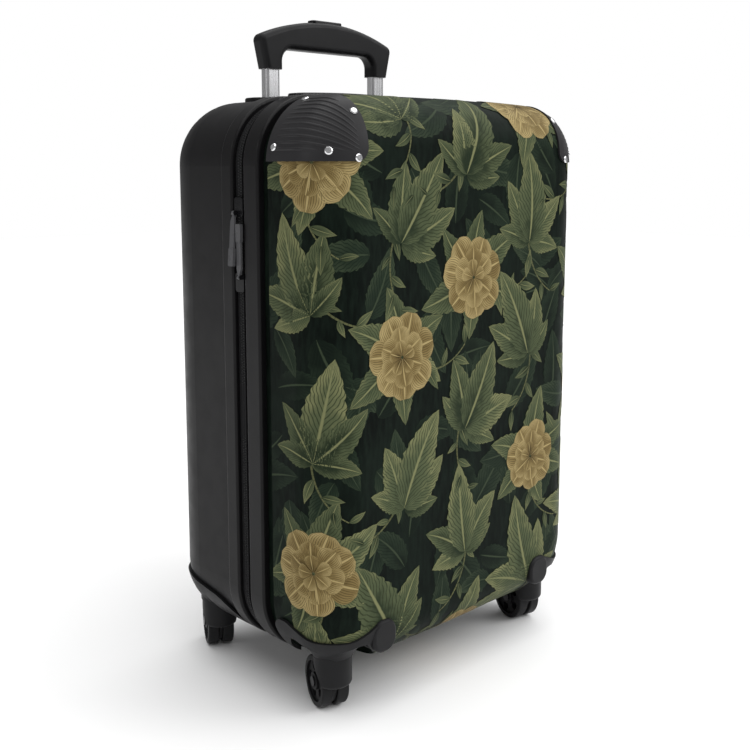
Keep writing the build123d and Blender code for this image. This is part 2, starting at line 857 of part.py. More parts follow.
with BuildPart() as button_spring:
    with BuildSketch(station(tube_y + spring_width / 2)):
        with BuildLine():
            half_spring = spring_length / 2
            crest = button_floor + spring_height - seat
            left_low = (-half_spring, button_floor)
            left_high = (-half_spring, button_floor + spring_thickness)
            right_low = (half_spring, button_floor)
            right_high = (half_spring, button_floor + spring_thickness)
            Line(left_low, left_high)
            ThreePointArc(left_high, (0, crest), right_high)
            Line(right_high, right_low)
            ThreePointArc(right_low, (0, crest - spring_thickness), left_low)
        make_face()
    extrude(amount=spring_width)
write(button_spring.part, "button_spring")

# Carry handle on the top of the rear shell: a low bar on two posts that slide up through its plate
plate_form = half_body(
    rear_rim_y,
    rear_face + carry_plate_thickness,
    carry_plate_thickness,
    rear_rounding + carry_plate_thickness,
)
with BuildPart() as carry_plate:
    with BuildSketch(Plane.XY.offset(case_top - corner_radius / 2)):
        with Locations((0, carry_y)):
            RectangleRounded(carry_plate_length, carry_plate_width, carry_plate_corner)
        with Locations((-post_x, carry_y), (post_x, carry_y)):
            Rectangle(post_length + 2 * clear, post_width + 2 * clear, mode=Mode.SUBTRACT)
    extrude(amount=corner_radius)
    add(plate_form, mode=Mode.INTERSECT)
    add(rear_form, mode=Mode.SUBTRACT)
write(carry_plate.part, "carry_handle_plate")

carry_low = case_top + top_crown + carry_plate_thickness + clear
carry_high = carry_low + carry_thickness
post_low = case_top - wall - carry_lift - post_foot_height - clear
with BuildPart() as carry_handle:
    half_carry = carry_length / 2
    with BuildSketch(station(carry_y + carry_width / 2)):
        with BuildLine():
            left_top = (-half_carry, carry_high)
            right_top = (half_carry, carry_high)
            Polyline(left_top, (-half_carry, carry_low), (half_carry, carry_low), right_top)
            ThreePointArc(right_top, (0, carry_high + carry_bow), left_top)
        make_face()
    extrude(amount=carry_width)
    fillet(carry_handle.edges().filter_by(Axis.Z), carry_end_rounding)
    fillet(carry_handle.faces().sort_by(Axis.Z)[-1].edges(), carry_rounding)
    with BuildSketch(Plane.XY.offset(carry_low)):
        with Locations((-post_x, carry_y), (post_x, carry_y)):
            Rectangle(post_length, post_width)
    extrude(amount=post_low - carry_low)
    with BuildSketch(Plane.XY.offset(post_low)):
        with Locations((-post_x, carry_y), (post_x, carry_y)):
            Rectangle(post_length + 2 * post_foot_margin, post_width + 2 * post_foot_margin)
    extrude(amount=post_foot_height)
write(carry_handle.part, "carry_handle")

# Zip sliders and pulls on the left side
coil_x = -(half_width + tape_level + coil_proud)
plate_x = coil_x - clear
pull_pin_x = plate_x - slider_plate - bail_reach
cheek_gap = pull_eye_width / 2 + pull_side_gap


def zip_slider(z, bail_y, bail_z):
    """Slider that rides on the rear coil, with a bail and pin for its pull."""
    with BuildPart() as slider:
        with Locations((plate_x, zip_y, z)):
            Box(slider_plate, slider_width, slider_length, align=(Align.MAX, Align.CENTER, Align.CENTER))
        fillet(slider.edges().filter_by(Axis.X), slider_edge)
        with Locations((plate_x, zip_y + zip_gap / 2 + coil_width + clear, z)):
            flange_length = slider_length - 2 * slider_edge
            Box(coil_proud, slider_flange, flange_length, align=(Align.MIN, Align.MIN, Align.CENTER))
        for cheek in (-1, 1):
            with BuildSketch(station(bail_y + cheek * cheek_gap)):
                with Locations((pull_pin_x, bail_z)):
                    Circle(bail_radius)
                with Locations((plate_x - slider_plate, bail_z)):
                    Rectangle(seat, 2 * bail_radius)
                make_hull()
            extrude(amount=-cheek * bail_cheek)
        with BuildSketch(station(bail_y)):
            with Locations((pull_pin_x, bail_z)):
                Circle(pull_pin_radius)
        extrude(amount=cheek_gap + bail_cheek, both=True)
    return slider.part


def zip_pull(pivot, hangs, tilt):
    """Tapered pull on its pin; hangs is 1 for down and -1 for up, tilt leans its tip outwards."""
    lean = radians(tilt)
    face = Plane(origin=pivot, x_dir=(0, hangs, 0), z_dir=(-cos(lean), 0, hangs * sin(lean)))
    eye_half = pull_eye_width / 2
    half_pull = pull_width / 2
    grip_half = half_pull + pull_grip_margin
    shift = hangs * (pivot[1] - zip_y) / abs(pivot[1] - zip_y) * pull_grip_margin
    with BuildPart() as pull:
        with BuildSketch(face):
            with BuildLine():
                Polyline(
                    (-eye_half, 0),
                    (eye_half, 0),
                    (eye_half, pull_eye_radius),
                    (shift + half_pull, pull_shoulder),
                    (shift + half_pull, pull_length),
                    (shift - half_pull, pull_length),
                    (shift - half_pull, pull_shoulder),
                    (-eye_half, pull_eye_radius),
                    close=True,
                )
            make_face()
        extrude(amount=pull_thickness / 2, both=True)
        with BuildSketch(face):
            with Locations((shift, pull_length - pull_grip_length / 2)):
                RectangleRounded(2 * grip_half, pull_grip_length, pull_corner)
        extrude(amount=pull_thickness / 2 + pull_grip_margin, both=True)
        with BuildSketch(station(pivot[1])):
            with Locations((pivot[0], pivot[2])):
                Circle(pull_eye_radius)
        extrude(amount=eye_half, both=True)
        with BuildSketch(station(pivot[1])):
            with Locations((pivot[0], pivot[2])):
                Circle(pull_pin_radius + running)
        extrude(amount=overrun, both=True, mode=Mode.SUBTRACT)
    return pull.part


upper_bail = (zip_y + bail_offset, upper_slider_z - bail_drop)
lower_bail = (zip_y - bail_offset, lower_slider_z + bail_drop)
write(zip_slider(upper_slider_z, *upper_bail), "zip_slider_upper")
write(zip_slider(lower_slider_z, *lower_bail), "zip_slider_lower")
write(zip_pull((pull_pin_x, *upper_bail), 1, upper_pull_tilt), "zip_pull_upper")
write(zip_pull((pull_pin_x, *lower_bail), -1, 0), "zip_pull_lower")
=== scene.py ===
"""Looks of the cabin suitcase: materials, print, guard ribs, zip teeth, cloth, floor, light and camera.

Metres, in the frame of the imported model: X to the right, Y to the back, Z up, origin on the floor.
"""

import json
import math
import random

import bpy
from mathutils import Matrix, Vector


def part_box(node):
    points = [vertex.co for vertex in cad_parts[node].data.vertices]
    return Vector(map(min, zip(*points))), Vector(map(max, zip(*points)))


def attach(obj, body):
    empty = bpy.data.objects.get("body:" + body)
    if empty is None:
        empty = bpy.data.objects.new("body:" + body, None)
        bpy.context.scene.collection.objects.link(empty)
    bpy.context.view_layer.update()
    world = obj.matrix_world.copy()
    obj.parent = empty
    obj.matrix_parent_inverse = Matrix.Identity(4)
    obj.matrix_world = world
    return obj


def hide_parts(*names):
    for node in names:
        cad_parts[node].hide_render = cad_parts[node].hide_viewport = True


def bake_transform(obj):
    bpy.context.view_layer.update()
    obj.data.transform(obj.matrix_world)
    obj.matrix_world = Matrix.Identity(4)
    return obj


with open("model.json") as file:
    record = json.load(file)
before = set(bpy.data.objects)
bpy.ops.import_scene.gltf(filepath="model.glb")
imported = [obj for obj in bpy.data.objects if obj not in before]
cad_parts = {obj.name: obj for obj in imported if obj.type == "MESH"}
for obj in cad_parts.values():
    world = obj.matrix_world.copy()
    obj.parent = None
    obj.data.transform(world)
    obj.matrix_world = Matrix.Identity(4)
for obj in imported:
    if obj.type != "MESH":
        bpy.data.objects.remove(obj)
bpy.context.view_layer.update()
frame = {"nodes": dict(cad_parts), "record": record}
nodes = frame["nodes"]
mm = 0.001
quarter_turn = math.pi / 2
full_turn = 2 * math.pi
draw_seed = 7
draw = random.Random(draw_seed)

# Form of the case and its front shell, as in the solid model
half_width = 175 * mm
case_bottom = 42 * mm
case_top = 547 * mm
top_crown = 4 * mm
corner_radius = 60 * mm
front_rounding = 43 * mm
front_y = -124 * mm
shell_open_y = -49 * mm
zip_y = -9 * mm
zip_gap = 0.3 * mm
coil_width = 2.6 * mm
coil_level = -0.4 * mm
guard_thickness = 2.2 * mm
guard_width = 45 * mm
guard_drop = 54 * mm
caster_x = 139 * mm
front_caster_y = -87.5 * mm
well_radius = 37.5 * mm
well_top = 72 * mm

# Worked-out places on that form
crown_radius = (half_width**2 + top_crown**2) / (2 * top_crown)
crown_z = case_top + top_crown - crown_radius
corner_x = half_width - corner_radius
corner_z = crown_z + math.sqrt((crown_radius - corner_radius) ** 2 - corner_x**2)
low_corner_z = case_bottom + corner_radius
middle_z = (case_bottom + case_top) / 2
corner_tilt = math.atan2(corner_x, corner_z - crown_z)
inset_radius = corner_radius - front_rounding
bend_run = front_rounding * quarter_turn
print_run = bend_run + shell_open_y - (front_y + front_rounding)

# Camera, fitted to the photograph
camera_place = Vector((-0.723855, -0.754677, 0.488476))
camera_azimuth = math.radians(-43.7017)
camera_pitch = math.radians(8.095)
camera_lens = 49.9708
camera_shift = -0.08
sensor_width = 36.0

# Noise of the materials: octaves of detail, and the part of its range that is used
noise_detail = 3.0
fine_detail = 2.0
noise_low = 0.3
noise_high = 0.7

# Moulded plastic
plastic_gloss = 0.14
patch_scale = 22.0
gloss_scale = 60.0
grain_scale = 1500.0
grain_relief = 0.25
grain_depth = 0.05 * mm

# Metal
streak_scale = 900.0
streak_relief = 0.08
streak_depth = 0.02 * mm

# Woven cloth
cloth_gloss = 0.1
wear_scale = 80.0
wear_low = 0.2
wear_high = 0.8
worn_share = 0.6
thread_foot_roughness = 0.95
thread_top_roughness = 0.75
thread_relief = 0.6
thread_depth = 0.15 * mm

# Printed film
print_gloss = 0.035
film_scale = 70.0
film_smoothest = 0.4
film_roughest = 0.5
film_relief = 0.15
film_depth = 0.04 * mm
cloud_scale = 16.0
cloud_detail = 6.0
cloud_low = 0.35
cloud_high = 0.7
brush_scale = 240.0
brush_detail = 4.0
brush_stretch = (1, 1, 0.25)
brush_low = 0.4
brush_high = 0.75
brush_strength = 0.6
ground_deep = (0.0018, 0.0032, 0.0024)
ground_cloud = (0.0052, 0.0095, 0.0066)
ground_brush = (0.0085, 0.015, 0.0105)

# Tone of a printed leaf or petal, from shade to glow
end_light_share = 0.55
rim_light_share = 0.35
tone_low = -0.28
tone_high = 0.22
mottle_scale = 90.0
mottle_detail = 4.0
mottle_strength = 0.12
body_full = 0.5
glow_start = 0.45
glow_full = 0.95
line_strength = 0.8
midrib_inner_share = 0.03
midrib_outer_share = 0.1

# Sockets of the mix node for colours
mix_share_socket = 0
mix_first_socket = 6
mix_second_socket = 7
mix_colour_socket = 2


def edge_frame(x, z):
    """Distance of a point of the flat print beyond the flat front, and the outward direction there."""
    side = 1 if x >= 0 else -1
    ax = abs(x)
    if ax > corner_x and z > corner_z and math.atan2(ax, z - crown_z) > corner_tilt:
        dx, dz = ax - corner_x, z - corner_z
        away = math.hypot(dx, dz)
        return away - inset_radius, side * dx / away, dz / away
    if ax > corner_x and z < low_corner_z:
        dx, dz = ax - corner_x, z - low_corner_z
        away = math.hypot(dx, dz)
        return away - inset_radius, side * dx / away, dz / away
    beside = ax - (half_width - front_rounding)
    if z > middle_z:
        away = math.hypot(ax, z - crown_z)
        above = away - (crown_radius - front_rounding)
        if above > beside:
            return above, side * ax / away, (z - crown_z) / away
    else:
        below = case_bottom + front_rounding - z
        if below > beside:
            return below, 0, -1
    return beside, side, 0


def on_shell(x, z, lift):
    """Place on the front shell of a point of the flat print, lifted off the surface."""
    beyond, nx, nz = edge_frame(x, z)
    if beyond <= 0:
        return Vector((x, front_y - lift, z))
    reach = front_rounding + lift
    run = min(beyond, print_run)
    bend = min(run / front_rounding, quarter_turn)
    y = front_y + front_rounding - reach * math.cos(bend) + max(run - bend_run, 0)
    out = reach * math.sin(bend) - beyond
    return Vector((x + nx * out, y, z + nz * out))


def in_well(place):
    """Whether a place on the front shell is cut away for a wheel, or right at that edge."""
    away = math.hypot(abs(place.x) - caster_x, place.y - front_caster_y)
    return place.z < well_top + well_margin and away < well_radius + well_margin


# Pieces
def add_mesh(name, points, faces, material):
    """Object with a mesh of its own and one material."""
    mesh = bpy.data.meshes.new(name)
    mesh.from_pydata(points, [], faces)
    mesh.update()
    mesh.materials.append(material)
    piece = bpy.data.objects.new(name, mesh)
    bpy.context.scene.collection.objects.link(piece)
    return piece


def add_piece(name, points, faces, body, material):
    """Smooth piece that rides on a body, with one material."""
    piece = add_mesh(name, points, faces, material)
    for polygon in piece.data.polygons:
        polygon.use_smooth = True
    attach(piece, body)
    return piece


# Shader nodes
def new_material(name):
    """Material with its node tree and its surface shader."""
    material = bpy.data.materials.new(name)
    material.use_nodes = True
    tree = material.node_tree
    return material, tree, tree.nodes["Principled BSDF"]


def add_node(tree, kind, **values):
    """Shader node with some of its inputs set by name."""
    node = tree.nodes.new("ShaderNode" + kind)
    for key, value in values.items():
        node.inputs[key].default_value = value
    return node


def math_node(tree, operation, first, second=None):
    """Output of a calculation on numbers or other nodes' outputs."""
    node = tree.nodes.new("ShaderNodeMath")
    node.operation = operation
    for index, value in enumerate((first, second)):
        if value is None:
            continue
        if isinstance(value, (int, float)):
            node.inputs[index].default_value = value
        else:
            tree.links.new(value, node.inputs[index])
    return node.outputs[0]


def mapped(tree, value, low, high, to_low, to_high, smooth=False):
    """Value moved from one range to another and held inside it."""
    node = tree.nodes.new("ShaderNodeMapRange")
    node.interpolation_type = "SMOOTHSTEP" if smooth else "LINEAR"
    tree.links.new(value, node.inputs["Value"])
    for key, limit in (("From Min", low), ("From Max", high), ("To Min", to_low), ("To Max", to_high)):
        node.inputs[key].default_value = limit
    return node.outputs["Result"]


def mixed(tree, share, first, second):
    """Colour between two others; each may be a colour or another node's output."""
    node = tree.nodes.new("ShaderNodeMix")
    node.data_type = "RGBA"
    for socket, value in ((mix_share_socket, share), (mix_first_socket, first), (mix_second_socket, second)):
        if isinstance(value, tuple):
            node.inputs[socket].default_value = (*value, 1)
        else:
            tree.links.new(value, node.inputs[socket])
    return node.outputs[mix_colour_socket]


def noise(tree, scale, detail=noise_detail, stretch=None):
    """Noise over the object's own coordinates, stretched along some axes."""
    place = tree.nodes.new("ShaderNodeTexCoord").outputs["Object"]
    if stretch:
        mapping = add_node(tree, "Mapping", Scale=stretch)
        tree.links.new(place, mapping.inputs["Vector"])
        place = mapping.outputs["Vector"]
    node = add_node(tree, "TexNoise", Scale=scale, Detail=detail)
    tree.links.new(place, node.inputs["Vector"])
    return node.outputs["Fac"]


def bump(tree, shader, height, strength, depth):
    """Fine relief on the shader's normal."""
    node = add_node(tree, "Bump", Strength=strength, Distance=depth)
    tree.links.new(height, node.inputs["Height"])
    tree.links.new(node.outputs["Normal"], shader.inputs["Normal"])


# Materials
def plastic(name, dark, light, smoothest, roughest, grain=grain_scale, relief=grain_relief):
    """Moulded plastic: fine grain, slight patches of tone and gloss."""
    material, tree, shader = new_material(name)
    patches = noise(tree, patch_scale)
    tree.links.new(mixed(tree, patches, dark, light), shader.inputs["Base Color"])
    rough = mapped(tree, noise(tree, gloss_scale), noise_low, noise_high, smoothest, roughest)
    tree.links.new(rough, shader.inputs["Roughness"])
    bump(tree, shader, noise(tree, grain, fine_detail), relief, grain_depth)
    shader.inputs["Specular IOR Level"].default_value = plastic_gloss
    return material


def metal(name, dark, light, smoothest, roughest, stretch):
    """Metal with fine streaks, stretched along some axes."""
    material, tree, shader = new_material(name)
    streaks = noise(tree, streak_scale, fine_detail, stretch)
    tree.links.new(mixed(tree, streaks, dark, light), shader.inputs["Base Color"])
    rough = mapped(tree, streaks, noise_low, noise_high, smoothest, roughest)
    tree.links.new(rough, shader.inputs["Roughness"])
    bump(tree, shader, streaks, streak_relief, streak_depth)
    shader.inputs["Metallic"].default_value = 1.0
    return material


def cloth(name, dark, light, pitch, sheen):
    """Plain weave: warp and weft threads over and under each other; the colour is darker in the dips between
    threads as painted shade.
    """
    material, tree, shader = new_material(name)
    place = add_node(tree, "SeparateXYZ")
    tree.links.new(tree.nodes.new("ShaderNodeTexCoord").outputs["Object"], place.inputs[0])
    turns = full_turn / pitch
    across = math_node(tree, "ADD", place.outputs["X"], place.outputs["Y"])
    warp = math_node(tree, "SINE", math_node(tree, "MULTIPLY", across, turns))
    weft = math_node(tree, "SINE", math_node(tree, "MULTIPLY", place.outputs["Z"], turns))
    weave = mapped(tree, math_node(tree, "MULTIPLY", warp, weft), -1, 1, 0, 1)
    wear = mapped(tree, noise(tree, wear_scale), wear_low, wear_high, worn_share, 1)
    # Colour: painted shade, darker at the thread feet and lighter on the thread tops, times real worn patches
    thread_shade_and_wear = math_node(tree, "MULTIPLY", weave, wear)
    tree.links.new(mixed(tree, thread_shade_and_wear, dark, light), shader.inputs["Base Color"])
    rough = mapped(tree, weave, 0, 1, thread_foot_roughness, thread_top_roughness)
    tree.links.new(rough, shader.inputs["Roughness"])
    bump(tree, shader, weave, thread_relief, thread_depth)
    shader.inputs["Sheen Weight"].default_value = sheen
    shader.inputs["Specular IOR Level"].default_value = cloth_gloss
    return material


def print_film(tree, shader):
    """Gloss and fine grain of the film, the same for the ground and the inks."""
    rough = mapped(tree, noise(tree, film_scale), noise_low, noise_high, film_smoothest, film_roughest)
    tree.links.new(rough, shader.inputs["Roughness"])
    bump(tree, shader, noise(tree, grain_scale, fine_detail), film_relief, film_depth)
    shader.inputs["Specular IOR Level"].default_value = print_gloss


def print_ground():
    """Dark green-black film with clouded, brushed patches."""
    material, tree, shader = new_material("print_ground")
    clouds = mapped(tree, noise(tree, cloud_scale, cloud_detail), cloud_low, cloud_high, 0, 1)
    strokes = noise(tree, brush_scale, brush_detail, brush_stretch)
    brush = mapped(tree, strokes, brush_low, brush_high, 0, brush_strength)
    deep = mixed(tree, clouds, ground_deep, ground_cloud)
    tree.links.new(mixed(tree, brush, deep, ground_brush), shader.inputs["Base Color"])
    print_film(tree, shader)
    return material


def print_ink(name, shade, body, glow, line, vein_count, vein_slant, line_share):
    """Printed leaf or petal: tone from the root to the rim, fine drawn lines and a middle rib."""
    material, tree, shader = new_material(name)
    place = add_node(tree, "SeparateXYZ")
    tree.links.new(tree.nodes.new("ShaderNodeUVMap").outputs["UV"], place.inputs[0])
    along = place.outputs["Y"]
    across = math_node(tree, "ABSOLUTE", mapped(tree, place.outputs["X"], 0, 1, -1, 1))
    tone = tree.nodes.new("ShaderNodeAttribute")
    tone.attribute_name = "tone"
    end_light = math_node(tree, "MULTIPLY", along, end_light_share)
    rim_light = math_node(tree, "MULTIPLY", across, rim_light_share)
    lit = math_node(tree, "ADD", end_light, rim_light)
    lit = math_node(tree, "ADD", lit, mapped(tree, tone.outputs["Fac"], 0, 1, tone_low, tone_high))
    mottle = noise(tree, mottle_scale, mottle_detail)
    mottle = mapped(tree, mottle, noise_low, noise_high, -mottle_strength, mottle_strength)
    lit = math_node(tree, "ADD", lit, mottle)
    root_to_body = mixed(tree, mapped(tree, lit, 0, body_full, 0, 1, True), shade, body)
    colour = mixed(tree, mapped(tree, lit, glow_start, glow_full, 0, 1, True), root_to_body, glow)
    veins = math_node(tree, "MULTIPLY", along, vein_count)
    slant = math_node(tree, "MULTIPLY", across, vein_slant)
    phase = math_node(tree, "SUBTRACT", veins, slant)
    wave = math_node(tree, "SINE", math_node(tree, "MULTIPLY", phase, full_turn))
    drawn = mapped(tree, wave, line_share, 1, 0, line_strength, True)
    midrib = mapped(tree, across, midrib_inner_share, midrib_outer_share, 1, 0, True)
    lined = mixed(tree, drawn, colour, line)
    tree.links.new(mixed(tree, midrib, lined, glow), shader.inputs["Base Color"])
    print_film(tree, shader)
    return material


black_dark = (0.0044, 0.0042, 0.0046)
black_light = (0.0072, 0.0069, 0.0075)

# Plastics: dark and light tone, least and most roughness, then grain scale and relief where they differ
plastics = {
    "shell_black": (black_dark, black_light, 0.36, 0.46),
    "rim_black": (black_dark, black_light, 0.30, 0.38),
    "trim_black": (black_dark, black_light, 0.36, 0.46),
    "guard_black": ((0.015, 0.0145, 0.0155), (0.024, 0.0235, 0.025), 0.36, 0.44),
    "housing_black": ((0.008, 0.008, 0.0085), (0.013, 0.013, 0.014), 0.38, 0.48),
    "wheel_black": ((0.008, 0.008, 0.0085), (0.016, 0.016, 0.017), 0.42, 0.6, 700.0),
    "grip_black": ((0.006, 0.006, 0.0065), (0.01, 0.01, 0.011), 0.34, 0.44, 2200.0),
    "gloss_black": ((0.005, 0.005, 0.0055), (0.008, 0.008, 0.009), 0.14, 0.24, 300.0, 0.08),
    "slider_metal": ((0.004, 0.004, 0.0045), (0.008, 0.008, 0.009), 0.1, 0.2, 400.0, 0.05),
    "pull_grey": ((0.055, 0.055, 0.058), (0.08, 0.08, 0.084), 0.26, 0.36, 900.0, 0.1),
}

# Cloths: dark tone (painted shade between threads and worn patches), light tone (thread tops), thread pitch,
# sheen
cloths = {
    "zip_tape": ((0.0035, 0.0035, 0.004), (0.011, 0.011, 0.012), 0.9 * mm, 0.05),
    "hinge_cloth": ((0.004, 0.004, 0.0045), (0.014, 0.014, 0.015), 1.2 * mm, 0.1),
    "lining": ((0.03, 0.031, 0.034), (0.07, 0.072, 0.077), 1.0 * mm, 0.15),
}

# Metals: dark and light tone, least and most roughness, scale of the streaks along each axis
metals = {
    "tube_aluminium": ((0.5, 0.5, 0.51), (0.64, 0.64, 0.65), 0.22, 0.34, (1, 1, 0.01)),
    "rivet_metal": ((0.68, 0.68, 0.69), (0.8, 0.8, 0.81), 0.16, 0.26, (1, 1, 1)),
    "axle_steel": ((0.05, 0.05, 0.052), (0.09, 0.09, 0.093), 0.3, 0.42, (1, 1, 1)),
    "spring_steel": ((0.5, 0.5, 0.52), (0.62, 0.62, 0.64), 0.2, 0.3, (0.02, 1, 1)),
}

finishes = {name: plastic(name, *values) for name, values in plastics.items()}
finishes.update({name: cloth(name, *values) for name, values in cloths.items()})
finishes.update({name: metal(name, *values) for name, values in metals.items()})
finishes["print_shell"] = print_ground()

leaf_ink = print_ink(
    "print_leaf_ink",
    shade=(0.014, 0.022, 0.012),
    body=(0.068, 0.083, 0.042),
    glow=(0.165, 0.172, 0.082),
    line=(0.02, 0.028, 0.014),
    vein_count=15.0,
    vein_slant=4.5,
    line_share=0.3,
)
petal_ink = print_ink(
    "print_petal_ink",
    shade=(0.04, 0.026, 0.009),
    body=(0.17, 0.122, 0.047),
    glow=(0.34, 0.265, 0.12),
    line=(0.04, 0.028, 0.011),
    vein_count=1.0,
    vein_slant=7.0,
    line_share=0.45,
)
dim_ink = print_ink(
    "print_dim_ink",
    shade=(0.005, 0.009, 0.006),
    body=(0.014, 0.023, 0.014),
    glow=(0.032, 0.045, 0.026),
    line=(0.007, 0.012, 0.008),
    vein_count=11.0,
    vein_slant=4.0,
    line_share=0.35,
)
stem_ink = print_ink(
    "print_stem_ink",
    shade=(0.035, 0.042, 0.02),
    body=(0.085, 0.09, 0.042),
    glow=(0.15, 0.15, 0.07),
    line=(0.035, 0.042, 0.02),
    vein_count=20.0,
    vein_slant=0.0,
    line_share=0.6,
)

slots = {entry["node"]: entry["material_slot"] for entry in frame["record"]["subparts"]}
for name, node in nodes.items():
    finish = "axle_steel" if name.startswith("axle") else slots[name]
    node.data.materials.clear()
    node.data.materials.append(finishes[finish])

# Outlines of the printed shapes, from root to tip
leaf_teeth = 9
leaf_tooth_share = 0.07
leaf_root_power = 0.72
leaf_rim_power = 0.85
lance_root_power = 0.8
lance_rim_power = 1.1
petal_root_share = 0.16
petal_end_share = 0.985
petal_root_power = 2.1
petal_rim_power = 0.55
stem_taper_share = 0.6

# Lifts off the shell, where each leaf and petal lies a step above the one before it
layer_step = 0.0012 * mm
dim_lift = 0.06 * mm
stem_lift = 0.26 * mm
leaf_lift = 0.28 * mm
petal_lift = 0.66 * mm

# Room between the print and the wheel wells
well_margin = 1.5 * mm

# Meshes of the printed shapes: rows along, columns across
small_leaf_length = 30 * mm
small_leaf_mesh = (14, 4)
large_leaf_mesh = (28, 8)
dim_leaf_mesh = (24, 8)
petal_mesh = (16, 8)
stem_mesh = (40, 2)

# Leaves, petals and stems; angles and curls in radians, tones from 0 dark to 1 light
leaf_curl = 0.5
dim_curl = 0.6
petal_curl = 0.2
petal_jitter = 0.08
petal_root = 1.5 * mm
petal_length_shares = (0.92, 1.06)
petal_tones = (0.25, 0.95)
spray_length_shares = (0.92, 1.05)
spray_width_shares = (0.42, 0.5)
spray_tones = (0.15, 1.0)
stem_width = 2.4 * mm
stem_tone = 0.6
vine_leaves = 5
vine_steps = 8
vine_leaf_lengths = (16 * mm, 26 * mm)
vine_leaf_width_share = 0.36
vine_leaf_angle = 0.8
vine_leaf_tones = (0.2, 0.8)

# Rings of a bloom: number of petals, length and width as shares of the bloom, turn
bloom_ring_shares = ((7, 0.5, 0.4, 0.0), (6, 0.34, 0.3, 0.3), (5, 0.19, 0.17, 0.1))

# Leaves of a spray: angle from the middle one, length as a share of the spray
spray_leaf_shares = ((-1.35, 0.5), (1.35, 0.52), (-0.68, 0.74), (0.68, 0.72), (0.0, 1.0))

# Dim leaves behind the print, scattered on a square lattice
dim_columns = 12
dim_rows = 14
dim_pitch = 47 * mm
dim_reach = 260 * mm
dim_first_z = -20 * mm
dim_jitter = 14 * mm
dim_lengths = (48 * mm, 74 * mm)
dim_width_share = 0.46

# Blooms and sprays on a staggered lattice
outer_column = 2
row_count = 5
column_pitch = 92 * mm
row_pitch = 118 * mm
first_row_z = 26 * mm
place_jitter = 8 * mm
upright_degrees = 90
lean_degrees = 24
lean_jitter = 0.25
bloom_every = 3
bloom_sizes = (68 * mm, 84 * mm)
bloom_leaf_turns = (0.3, 1.4, 2.5, 3.7, 4.8, 5.7)
bloom_leaf_lengths = (56 * mm, 74 * mm)
bloom_leaf_width_share = 0.46
bloom_leaf_tones = (0.1, 0.8)
bloom_vine_turn = 3.3
bloom_vine_length = 92 * mm
bloom_vine_curls = (-1.6, 1.6)
spray_sizes = (84 * mm, 102 * mm)
spray_drop = 20 * mm
spray_vine_length = 84 * mm
spray_vine_curls = (-1.3, 1.3)


# Botanical print
class InkLayer:
    """Printed shapes of one ink, gathered into one mesh."""

    def __init__(self, first_lift):
        self.lift = first_lift
        self.points = []
        self.faces = []
        self.marks = []

    def add_blade(self, root, heading, length, width, curl, profile, mesh_size, tone):
        """Leaf, petal or stem: a strip along a curling middle line, as wide as its profile says."""
        rows, columns = mesh_size
        start = len(self.points)
        x, z = root
        step = length / rows
        for row in range(rows + 1):
            along = row / rows
            angle = heading + curl * along
            half = width / 2 * profile(along)
            for column in range(columns + 1):
                across = 2 * column / columns - 1
                px = x - math.sin(angle) * half * across
                pz = z + math.cos(angle) * half * across
                self.points.append((px, pz, self.lift))
                self.marks.append((column / columns, along, tone))
            x += math.cos(angle) * step
            z += math.sin(angle) * step
        for row in range(rows):
            for column in range(columns):
                first = start + row * (columns + 1) + column
                second = first + columns + 1
                self.faces.append((first, first + 1, second + 1, second))

    def make(self, name, ink):
        """Lay the shapes on the shell and cut them off at its open edge and its wheel wells."""
        places = [on_shell(*point) for point in self.points]
        inside = [edge_frame(point[0], point[1])[0] < print_run for point in self.points]
        inside = [kept and not in_well(place) for kept, place in zip(inside, places)]
        kept = [face for face in self.faces if sum(inside[index] for index in face) > 1]
        used = sorted({index for face in kept for index in face})
        fresh = {old: new for new, old in enumerate(used)}
        faces = [tuple(fresh[index] for index in face) for face in kept]
        piece = add_piece(name, [places[index] for index in used], faces, "front_half", ink)
        mesh = piece.data
        uv = mesh.uv_layers.new(name="UVMap")
        for loop in mesh.loops:
            uv.data[loop.index].uv = self.marks[used[loop.vertex_index]][:2]
        tone = mesh.attributes.new("tone", "FLOAT", "POINT")
        tone.data.foreach_set("value", [self.marks[index][2] for index in used])


def leaf_profile(along):
    """Broad leaf with a shallow toothed rim."""
    teeth = 1 + leaf_tooth_share * math.sin(along * leaf_teeth * full_turn)
    return max(math.sin(math.pi * along**leaf_root_power), 0) ** leaf_rim_power * teeth


def lance_profile(along):
    """Narrow leaf with a plain rim."""
    return max(math.sin(math.pi * along**lance_root_power), 0) ** lance_rim_power


def petal_profile(along):
    """Petal that widens from a narrow root to a full, rounded end."""
    bulge = max(math.sin(math.pi * min(along, petal_end_share) ** petal_root_power), 0)
    return petal_root_share + (1 - petal_root_share) * bulge**petal_rim_power


def stem_profile(along):
    """Stem that thins towards its tip."""
    return 1 - stem_taper_share * along


dim_leaves = InkLayer(dim_lift)
leaves = InkLayer(leaf_lift)
petals = InkLayer(petal_lift)
stems = InkLayer(stem_lift)


def add_leaf(root, heading, length, width, tone, profile=leaf_profile):
    """Leaf with a curl of its own, above the leaves before it."""
    curl = draw.uniform(-leaf_curl, leaf_curl)
    leaves.lift += layer_step
    mesh_size = small_leaf_mesh if length < small_leaf_length else large_leaf_mesh
    leaves.add_blade(root, heading, length, width, curl, profile, mesh_size, tone)


def add_dim_leaf(root, heading, length, width, tone):
    """Leaf in the dim ink behind the others."""
    curl = draw.uniform(-dim_curl, dim_curl)
    dim_leaves.lift += layer_step
    dim_leaves.add_blade(root, heading, length, width, curl, leaf_profile, dim_leaf_mesh, tone)


